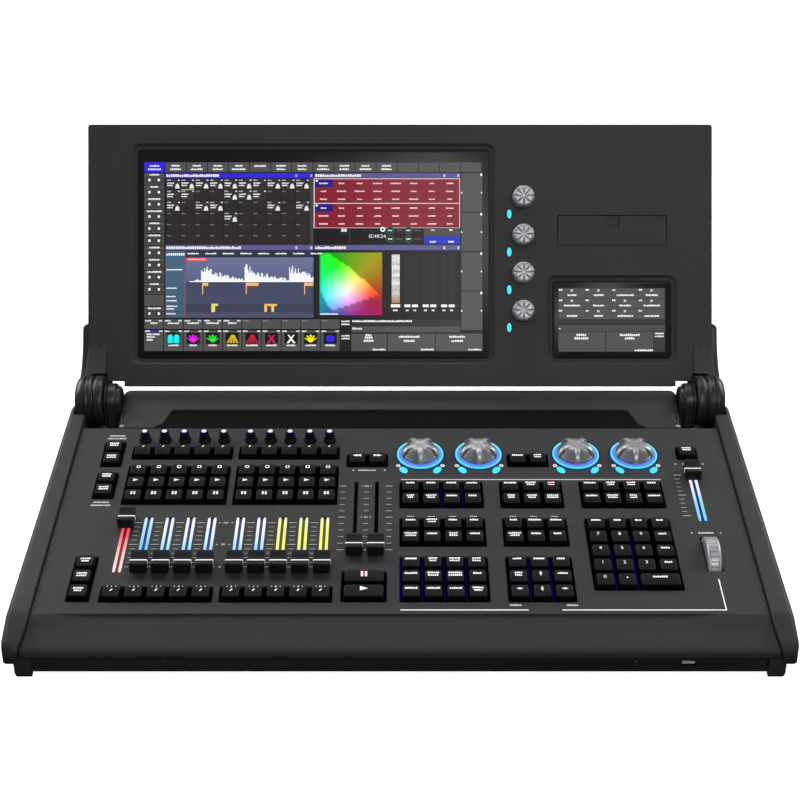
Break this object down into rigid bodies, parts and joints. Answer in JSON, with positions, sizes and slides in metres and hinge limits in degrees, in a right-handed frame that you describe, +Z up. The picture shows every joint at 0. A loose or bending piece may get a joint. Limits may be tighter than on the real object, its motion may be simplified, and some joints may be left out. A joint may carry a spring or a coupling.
{
  "type": "lighting control desk",
  "caption": "Stage lighting desk with faders, keys and encoders on a sloping panel and a screen housing that folds over it.",
  "frame": {"origin": "bottom centre of the bounding box with the screen open, on the surface that the desk stands on", "axes": "+X to the operator's right, +Y away from the operator, +Z up"},
  "size_m": [0.6616, 0.5214, 0.3262],
  "materials": {
    "black_sheet": "black powder coat on sheet steel",
    "panel_coat": "dark grey fine-textured coat",
    "side_moulding": "dark grey moulded, finely grained",
    "bezel_coat": "dark grey, finely grained",
    "cover_coat": "dark grey powder coat",
    "hinge_black": "satin black",
    "key_black": "matt black key caps",
    "knob_black": "satin black",
    "silver_knob": "satin silver",
    "display_glass": "black glass-like front with a lit picture",
    "circuit_board": "green board",
    "zinc_case": "bare plated case",
    "screen_picture": "lit picture of the displays",
    "white_print": "white printed marks",
    "light_blue": "lit blue-white strips and rings",
    "light_yellow": "lit yellow strips",
    "light_red": "lit red strips",
    "light_violet": "lit violet-white tops",
    "foot_rubber": "black rubber pads",
    "screw_steel": "plated screws",
    "socket_black": "black connector bodies",
    "socket_metal": "plated connector shells and contacts"
  },
  "bodies": {
    "base": {"base_pan": "black_sheet", "left_cheek": "side_moulding", "right_cheek": "side_moulding", "control_panel": "panel_coat", "rear_bridge": "side_moulding", "rear_io_panel": "black_sheet", "left_hinge_barrel": "hinge_black", "right_hinge_barrel": "hinge_black", "power_supply": "zinc_case", "main_board": "circuit_board", "fader_board": "circuit_board"},
    "screen": {"screen_bezel": "bezel_coat", "screen_back_cover": "cover_coat", "main_display": "display_glass", "small_display": "display_glass", "left_hinge_drum": "hinge_black", "right_hinge_drum": "hinge_black"},
    "hatch": {"hatch_door": "bezel_coat"},
    "power_rocker": {"power_switch": "knob_black"},
    "wheel": {"thumb_wheel": "silver_knob"},
    "playback_fader_01": {"playback_fader_01": "knob_black"},
    "playback_fader_02": {"playback_fader_02": "knob_black"},
    "playback_fader_03": {"playback_fader_03": "knob_black"},
    "playback_fader_04": {"playback_fader_04": "knob_black"},
    "playback_fader_05": {"playback_fader_05": "knob_black"},
    "playback_fader_06": {"playback_fader_06": "knob_black"},
    "playback_fader_07": {"playback_fader_07": "knob_black"},
    "playback_fader_08": {"playback_fader_08": "knob_black"},
    "playback_fader_09": {"playback_fader_09": "knob_black"},
    "playback_fader_10": {"playback_fader_10": "knob_black"},
    "crossfader_left": {"crossfader_left": "knob_black"},
    "crossfader_right": {"crossfader_right": "knob_black"},
    "grand_master_fader": {"grand_master_fader": "knob_black"},
    "main_encoder_a": {"main_encoder_a": "silver_knob"},
    "main_encoder_b": {"main_encoder_b": "silver_knob"},
    "main_encoder_c": {"main_encoder_c": "silver_knob"},
    "main_encoder_d": {"main_encoder_d": "silver_knob"},
    "playback_encoder_01": {"playback_encoder_01": "knob_black"},
    "playback_encoder_02": {"playback_encoder_02": "knob_black"},
    "playback_encoder_03": {"playback_encoder_03": "knob_black"},
    "playback_encoder_04": {"playback_encoder_04": "knob_black"},
    "playback_encoder_05": {"playback_encoder_05": "knob_black"},
    "playback_encoder_06": {"playback_encoder_06": "knob_black"},
    "playback_encoder_07": {"playback_encoder_07": "knob_black"},
    "playback_encoder_08": {"playback_encoder_08": "knob_black"},
    "playback_encoder_09": {"playback_encoder_09": "knob_black"},
    "playback_encoder_10": {"playback_encoder_10": "knob_black"},
    "screen_encoder_1": {"screen_encoder_1": "silver_knob"},
    "screen_encoder_2": {"screen_encoder_2": "silver_knob"},
    "screen_encoder_3": {"screen_encoder_3": "silver_knob"},
    "screen_encoder_4": {"screen_encoder_4": "silver_knob"},
    "left_keys": {"left_keys": "key_black"},
    "playback_keys_left": {"playback_keys_left": "key_black"},
    "playback_keys_right": {"playback_keys_right": "key_black"},
    "step_keys": {"step_keys": "key_black"},
    "pause_key": {"pause_key": "key_black"},
    "go_key": {"go_key": "key_black"},
    "program_keys": {"program_keys": "key_black"},
    "numeric_keys": {"numeric_keys": "key_black"},
    "single_key": {"single_key": "key_black"}
  },
  "joints": [
    {"name": "screen_tilt", "type": "hinge", "parent": "base", "child": "screen", "pos_m": [0, 0.079, 0.0876], "axis": [-1, 0, 0], "range_deg": [-125, 20]},
    {"name": "hatch_swing", "type": "hinge", "parent": "screen", "child": "hatch", "pos_m": [0.2161, 0.17493, 0.21661], "axis": [1, 0, 0], "range_deg": [0, 90]},
    {"name": "power_rocker_tip", "type": "hinge", "parent": "base", "child": "power_rocker", "pos_m": [-0.205, 0.1238, 0.027], "axis": [1, 0, 0], "range_deg": [0, 12]},
    {"name": "thumb_wheel_turn", "type": "hinge", "parent": "base", "child": "wheel", "pos_m": [0.274, -0.14928, 0.04191], "axis": [1, 0, 0], "continuous": true},
    {"name": "playback_fader_01_slide", "type": "slide", "parent": "base", "child": "playback_fader_01", "axis": [0, 0.9899, 0.1414], "range_m": [-0.06, 0]},
    {"name": "playback_fader_02_slide", "type": "slide", "parent": "base", "child": "playback_fader_02", "axis": [0, 0.9899, 0.1414], "range_m": [0, 0.06]},
    {"name": "playback_fader_03_slide", "type": "slide", "parent": "base", "child": "playback_fader_03", "axis": [0, 0.9899, 0.1414], "range_m": [0, 0.06]},
    {"name": "playback_fader_04_slide", "type": "slide", "parent": "base", "child": "playback_fader_04", "axis": [0, 0.9899, 0.1414], "range_m": [0, 0.06]},
    {"name": "playback_fader_05_slide", "type": "slide", "parent": "base", "child": "playback_fader_05", "axis": [0, 0.9899, 0.1414], "range_m": [0, 0.06]},
    {"name": "playback_fader_06_slide", "type": "slide", "parent": "base", "child": "playback_fader_06", "axis": [0, 0.9899, 0.1414], "range_m": [0, 0.06]},
    {"name": "playback_fader_07_slide", "type": "slide", "parent": "base", "child": "playback_fader_07", "axis": [0, 0.9899, 0.1414], "range_m": [0, 0.06]},
    {"name": "playback_fader_08_slide", "type": "slide", "parent": "base", "child": "playback_fader_08", "axis": [0, 0.9899, 0.1414], "range_m": [0, 0.06]},
    {"name": "playback_fader_09_slide", "type": "slide", "parent": "base", "child": "playback_fader_09", "axis": [0, 0.9899, 0.1414], "range_m": [0, 0.06]},
    {"name": "playback_fader_10_slide", "type": "slide", "parent": "base", "child": "playback_fader_10", "axis": [0, 0.9899, 0.1414], "range_m": [0, 0.06]},
    {"name": "crossfader_left_slide", "type": "slide", "parent": "base", "child": "crossfader_left", "axis": [0, 0.9899, 0.1414], "range_m": [0, 0.09]},
    {"name": "crossfader_right_slide", "type": "slide", "parent": "base", "child": "crossfader_right", "axis": [0, 0.9899, 0.1414], "range_m": [0, 0.09]},
    {"name": "grand_master_fader_slide", "type": "slide", "parent": "base", "child": "grand_master_fader", "axis": [0, 0.9899, 0.1414], "range_m": [-0.06, 0]},
    {"name": "main_encoder_a_turn", "type": "hinge", "parent": "base", "child": "main_encoder_a", "pos_m": [0.0193, -0.00728, 0.07392], "axis": [0, -0.1414, 0.9899], "continuous": true},
    {"name": "main_encoder_b_turn", "type": "hinge", "parent": "base", "child": "main_encoder_b", "pos_m": [0.07485, -0.00728, 0.07392], "axis": [0, -0.1414, 0.9899], "continuous": true},
    {"name": "main_encoder_c_turn", "type": "hinge", "parent": "base", "child": "main_encoder_c", "pos_m": [0.16775, -0.00728, 0.07392], "axis": [0, -0.1414, 0.9899], "continuous": true},
    {"name": "main_encoder_d_turn", "type": "hinge", "parent": "base", "child": "main_encoder_d", "pos_m": [0.2233, -0.00728, 0.07392], "axis": [0, -0.1414, 0.9899], "continuous": true},
    {"name": "playback_encoder_01_turn", "type": "hinge", "parent": "base", "child": "playback_encoder_01", "pos_m": [-0.246, 0.0139, 0.07694], "axis": [0, -0.1414, 0.9899], "continuous": true},
    {"name": "playback_encoder_02_turn", "type": "hinge", "parent": "base", "child": "playback_encoder_02", "pos_m": [-0.22695, 0.0139, 0.07694], "axis": [0, -0.1414, 0.9899], "continuous": true},
    {"name": "playback_encoder_03_turn", "type": "hinge", "parent": "base", "child": "playback_encoder_03", "pos_m": [-0.2079, 0.0139, 0.07694], "axis": [0, -0.1414, 0.9899], "continuous": true},
    {"name": "playback_encoder_04_turn", "type": "hinge", "parent": "base", "child": "playback_encoder_04", "pos_m": [-0.18885, 0.0139, 0.07694], "axis": [0, -0.1414, 0.9899], "continuous": true},
    {"name": "playback_encoder_05_turn", "type": "hinge", "parent": "base", "child": "playback_encoder_05", "pos_m": [-0.1698, 0.0139, 0.07694], "axis": [0, -0.1414, 0.9899], "continuous": true},
    {"name": "playback_encoder_06_turn", "type": "hinge", "parent": "base", "child": "playback_encoder_06", "pos_m": [-0.144, 0.0139, 0.07694], "axis": [0, -0.1414, 0.9899], "continuous": true},
    {"name": "playback_encoder_07_turn", "type": "hinge", "parent": "base", "child": "playback_encoder_07", "pos_m": [-0.12495, 0.0139, 0.07694], "axis": [0, -0.1414, 0.9899], "continuous": true},
    {"name": "playback_encoder_08_turn", "type": "hinge", "parent": "base", "child": "playback_encoder_08", "pos_m": [-0.1059, 0.0139, 0.07694], "axis": [0, -0.1414, 0.9899], "continuous": true},
    {"name": "playback_encoder_09_turn", "type": "hinge", "parent": "base", "child": "playback_encoder_09", "pos_m": [-0.08685, 0.0139, 0.07694], "axis": [0, -0.1414, 0.9899], "continuous": true},
    {"name": "playback_encoder_10_turn", "type": "hinge", "parent": "base", "child": "playback_encoder_10", "pos_m": [-0.0678, 0.0139, 0.07694], "axis": [0, -0.1414, 0.9899], "continuous": true},
    {"name": "screen_encoder_1_turn", "type": "hinge", "parent": "screen", "child": "screen_encoder_1", "pos_m": [0.1253, 0.19677, 0.26014], "axis": [0, -0.891, 0.454], "continuous": true},
    {"name": "screen_encoder_2_turn", "type": "hinge", "parent": "screen", "child": "screen_encoder_2", "pos_m": [0.1253, 0.1792, 0.22566], "axis": [0, -0.891, 0.454], "continuous": true},
    {"name": "screen_encoder_3_turn", "type": "hinge", "parent": "screen", "child": "screen_encoder_3", "pos_m": [0.1253, 0.16172, 0.19135], "axis": [0, -0.891, 0.454], "continuous": true},
    {"name": "screen_encoder_4_turn", "type": "hinge", "parent": "screen", "child": "screen_encoder_4", "pos_m": [0.1253, 0.1442, 0.15696], "axis": [0, -0.891, 0.454], "continuous": true},
    {"name": "left_keys_press", "type": "slide", "parent": "base", "child": "left_keys", "axis": [0, -0.1414, 0.9899], "range_m": [-0.002, 0], "stiffness_N_per_m": 1500, "springref_m": 0.001},
    {"name": "playback_keys_left_press", "type": "slide", "parent": "base", "child": "playback_keys_left", "axis": [0, -0.1414, 0.9899], "range_m": [-0.002, 0], "stiffness_N_per_m": 1500, "springref_m": 0.001},
    {"name": "playback_keys_right_press", "type": "slide", "parent": "base", "child": "playback_keys_right", "axis": [0, -0.1414, 0.9899], "range_m": [-0.002, 0], "stiffness_N_per_m": 1500, "springref_m": 0.001},
    {"name": "step_keys_press", "type": "slide", "parent": "base", "child": "step_keys", "axis": [0, -0.1414, 0.9899], "range_m": [-0.002, 0], "stiffness_N_per_m": 1500, "springref_m": 0.001},
    {"name": "pause_key_press", "type": "slide", "parent": "base", "child": "pause_key", "axis": [0, -0.1414, 0.9899], "range_m": [-0.002, 0], "stiffness_N_per_m": 1500, "springref_m": 0.001},
    {"name": "go_key_press", "type": "slide", "parent": "base", "child": "go_key", "axis": [0, -0.1414, 0.9899], "range_m": [-0.002, 0], "stiffness_N_per_m": 1500, "springref_m": 0.001},
    {"name": "program_keys_press", "type": "slide", "parent": "base", "child": "program_keys", "axis": [0, -0.1414, 0.9899], "range_m": [-0.002, 0], "stiffness_N_per_m": 1500, "springref_m": 0.001},
    {"name": "numeric_keys_press", "type": "slide", "parent": "base", "child": "numeric_keys", "axis": [0, -0.1414, 0.9899], "range_m": [-0.002, 0], "stiffness_N_per_m": 1500, "springref_m": 0.001},
    {"name": "single_key_press", "type": "slide", "parent": "base", "child": "single_key", "axis": [0, -0.1414, 0.9899], "range_m": [-0.002, 0], "stiffness_N_per_m": 1500, "springref_m": 0.001}
  ]
}
